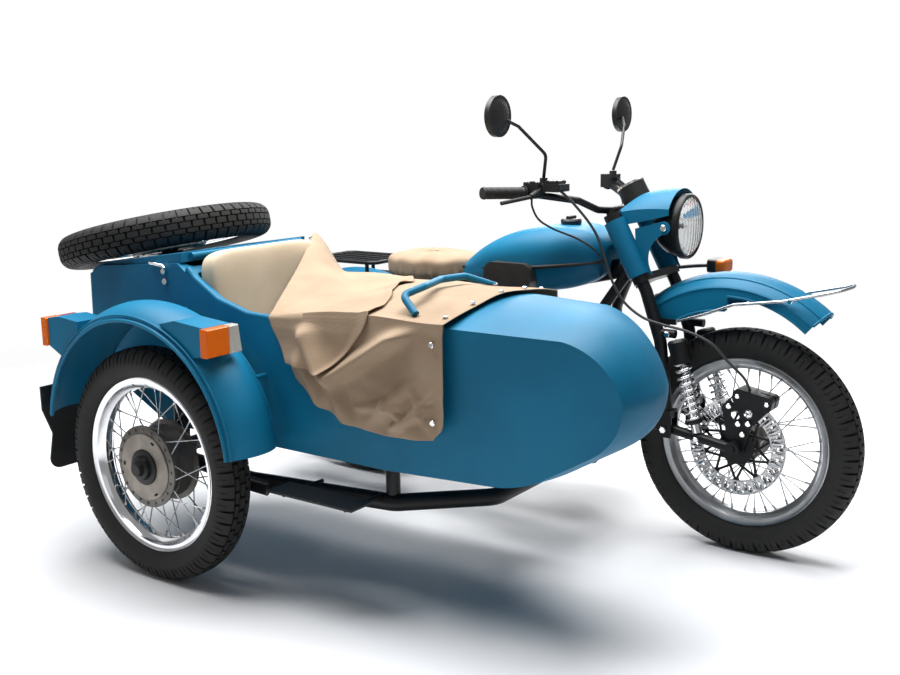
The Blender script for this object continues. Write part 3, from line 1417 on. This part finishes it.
# %% Grips
RING_WAVE = 1.2  # radians per millimetre, so a ring each 5.2 mm
along = np.linspace(4, 134, 120)
rings = np.stack([along, 17.2 + 0.9 * np.sin(along * RING_WAVE)], 1)
collar = [(0, 0), (0, 22), (4, 22)]
end_cap = [(142, 19), (148, 17), (148, 0)]
profile = np.vstack([collar, rings, end_cap])
grips = []
for side in (-1, 1):
    start = np.array([884.0, side * 270, 1084])
    end = np.array([822.0, side * 402, 1090])
    grips.append(turned(profile, start, 32, unit(end - start)))
piece("ribbed_grips", grips, soft_rubber, "fork", 40)

# %% [markdown]
# Instrument and mirrors
#
# The instrument is a round can with a bright ring, and each mirror a cup with a disc of
# glass in it. A lathe makes all of them, and so does `turned`, with the profile's radius
# and height read off the photograph. The glass stands just proud of its cup, so that the
# two surfaces never fight for the same place.

# %% Instrument
dial_axis = np.array([-0.5, 0, 0.866])  # leans back towards the rider by 30 degrees
face = np.array([1118.0, 0, 1068]) + 30 * dial_axis
bezel = [(0, 38), (0, 45), (5, 45), (7, 42), (5, 38)]
bezel = [turned(bezel, face, 64, dial_axis, True)]
piece("instrument_rim", bezel, chrome, "fork", 30)
dial = [turned([(0, 0), (0, 38.5), (3, 38.5), (3.5, 0)], face, 64, dial_axis)]
piece("instrument_glass", dial, black_plastic, "fork", 30)

# %% Mirrors
cup = [(-8, 0), (-8, 56), (-6, 59), (2, 59.5), (8, 50), (14, 30), (16, 0)]
disc = [(-8.6, 0), (-8.6, 54), (-7, 54), (-7, 0)]
places = ((866, -385, 1312), (866, 400, 1312))
backs = [turned(cup, place, 64, (1, 0, 0)) for place in places]
faces = [turned(disc, place, 64, (1, 0, 0)) for place in places]
piece("mirror_cups", backs, black_plastic, "fork", 40)
piece("mirror_faces", faces, mirror_glass, "fork", 30)

# %% [markdown]
# Brake hose
#
# The hose brings brake fluid from the master cylinder down to the caliper. Both of its
# ends are on the fork, so it turns with the fork and keeps its shape. A hose hanging
# under its own weight would sag more than this stiff one does. A smooth curve through
# the same points as the solid's keeps to the way that was checked for clashes.

# %% Brake hose
hose = curve([
    (934, -252, 1109), (985, -230, 1090), (1036, -200, 1030), (1078, -180, 965), (1104, -168, 890),
    (1128, -164, 820), (1168, -163, 760), (1228, -163, 720), (1296, -163, 703), (1370, -160, 690),
    (1440, -150, 660), (1490, -135, 606), (1527, -110, 560), (1540, -92, 520),
], 12)
made = piece("front_brake_hose", [round_bar(hose, 4, 12)], hose_rubber, "fork", 60)
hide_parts("brake_hose")

# %% [markdown]
# Throttle cable
#
# The throttle cable leaves the right switch pod in a wide arc and ends at the frame under
# the tank. One end turns with the fork and the other does not. Parented to one of them,
# it would tear away from the other, so it belongs to neither and its middle is blended
# from the fork's movement to the chassis's.

# %% Throttle cable
route = curve([
    (905, -262, 1066), (908, -262, 1040), (929, -258, 1004), (967, -232, 975), (1026, -196, 946),
    (1072, -160, 905), (1066, -100, 842), (1020, -52, 812), (985, -30, 806),
], 14)
cable = piece("throttle_cable", [round_bar(route, 3.2, 10)], soft_rubber, "fork", 60)
cable.parent = None
cable.matrix_world = Matrix.Identity(4)
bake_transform(cable)

# %% [markdown]
# Tank trim
#
# A rubber strip covers the tank's welded seam, and the knee pads are moulded with upright
# ribs. A black stripe painted on the tank would have no edge of its own. The strip and
# the ribs are bars, half sunk, that follow the tank's side.

# %% Tank seam
tank_half = curve([
    (514, 60, 813), (560, 92, 818), (620, 124, 824), (720, 158, 833), (800, 166, 840),
    (880, 165, 848), (960, 146, 856), (1020, 108, 862), (1050, 74, 866),
], 8)
strips = [round_bar(tank_half * (1, side, 1), 6) for side in (-1, 1)]
piece("tank_seam_strip", strips, soft_rubber, "chassis", 60)

# %% Knee pads
RIBS = 19
RIB_PITCH = 8.6
PAD_X, PAD_Z = 769.0, 815.0  # middle of the pad
ribs = []
for side in (-1, 1):
    for number in range(RIBS):
        x = 692 + number * RIB_PITCH
        half_height = 40 * (1 - abs((x - PAD_X) / 92) ** 4) ** 0.5
        y = side * (181 - 0.0011 * (x - 790) ** 2)
        line = [
            (x, y - side * 4, PAD_Z - half_height), (x, y, PAD_Z - 0.6 * half_height),
            (x, y, PAD_Z + 0.6 * half_height), (x, y - side * 5, PAD_Z + half_height),
        ]
        ribs.append(round_bar(line, 3.2, 8))
piece("knee_pad_ribs", ribs, pad_rubber, "chassis", 60)

# %% Filler cap
cap = [(0, 0), (0, 32), (14, 34), (20, 30), (21, 0)]
cap = [turned(cap, (894, 0, 966), 64, (0, 0, 1))]
cap.append(round_bar([(894, -24, 990), (894, 24, 990)], 6))
piece("filler_cap", cap, black_plastic, "chassis", 30)

# %% [markdown]
# Fasteners of the cover and the trunk
#
# Turn buttons hold the canvas along its edges, and a lever latch holds the trunk. They
# are the only bright points on a large soft sheet, so they are turned heads at measured
# places. The cover's height formula gives each button's height on the deck, and so none
# of them floats over the canvas or sinks into it.

# %% Turn buttons
DECK_BUTTONS = (
    (1075, -950), (1082, -840), (1086, -712), (1082, -590), (1070, -480), (900, -455), (700, -452),
)
buttons = []
for x, y in DECK_BUTTONS:
    z = float(deck_height(np.array(y))) + 2
    buttons.append(stud((x, y, z), (0, 0, 1), 7, 6, 20))
for x, z in ((1066, 764), (1066, 566)):
    buttons.append(stud((x, -996, z), (0, -1, 0), 8, 8, 20))
buttons.append(stud((196, -470, 934), (0.8, -0.3, 0.4), 7, 6, 20))
piece("cover_buttons", buttons, chrome, "chassis", 30)

# %% Trunk latch
latch = [stud((86, -986, 880), (0, -1, 0), 9, 10, 20)]
latch.append(stud((88, -986, 850), (0, -1, 0), 10, 8, 20))
latch.append(round_bar([(30, -992, 902), (86, -994, 897), (96, -994, 890)], 5))
piece("trunk_latch", latch, chrome, "chassis", 30)
